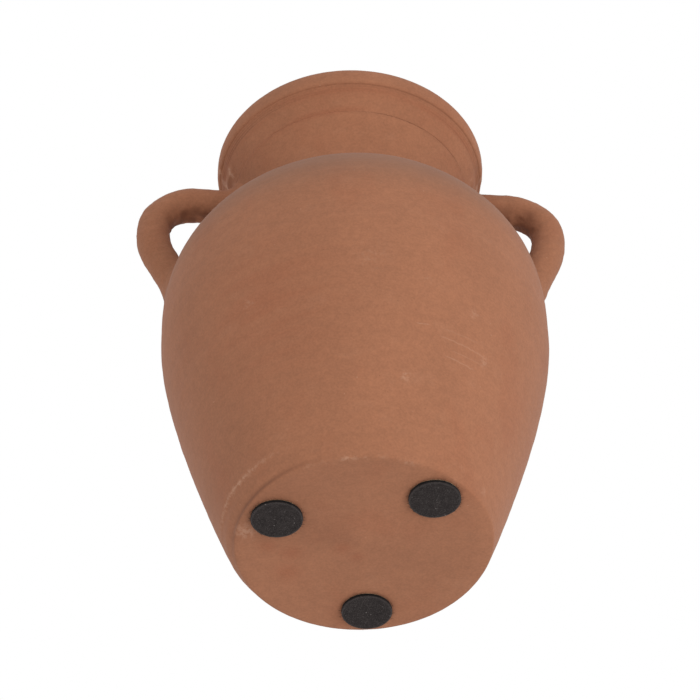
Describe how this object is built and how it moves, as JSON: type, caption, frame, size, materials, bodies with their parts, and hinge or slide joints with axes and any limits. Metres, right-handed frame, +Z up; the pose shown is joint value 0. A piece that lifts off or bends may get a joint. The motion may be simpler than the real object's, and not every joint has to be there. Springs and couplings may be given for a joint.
{
  "type": "amphora",
  "caption": "Terracotta amphora with a swelling body, flared neck, rolled lip, looped coil handles from neck to shoulder, and felt pads under its flat foot.",
  "frame": {"origin": "middle of the footprint, on the surface the felt pads stand on", "axes": "+Z up from the foot to the mouth, handles on +X and -X, front towards -Y"},
  "size_m": [0.2274, 0.1974, 0.2752],
  "materials": {
    "terracotta": "matte, unglazed, dusty",
    "terracotta_collar": "matte, unglazed, thrown rings",
    "terracotta_handles": "matte, unglazed, hand rolled",
    "black_felt": "dense felt",
    "adhesive_film": "thin adhesive"
  },
  "bodies": {
    "root": {"body": "terracotta", "rim_collar": "terracotta_collar", "handle_left": "terracotta_handles", "handle_right": "terracotta_handles", "film_left": "adhesive_film", "film_right": "adhesive_film", "film_back": "adhesive_film", "pad_left": "black_felt", "pad_right": "black_felt", "pad_back": "black_felt"}
  },
  "joints": []
}
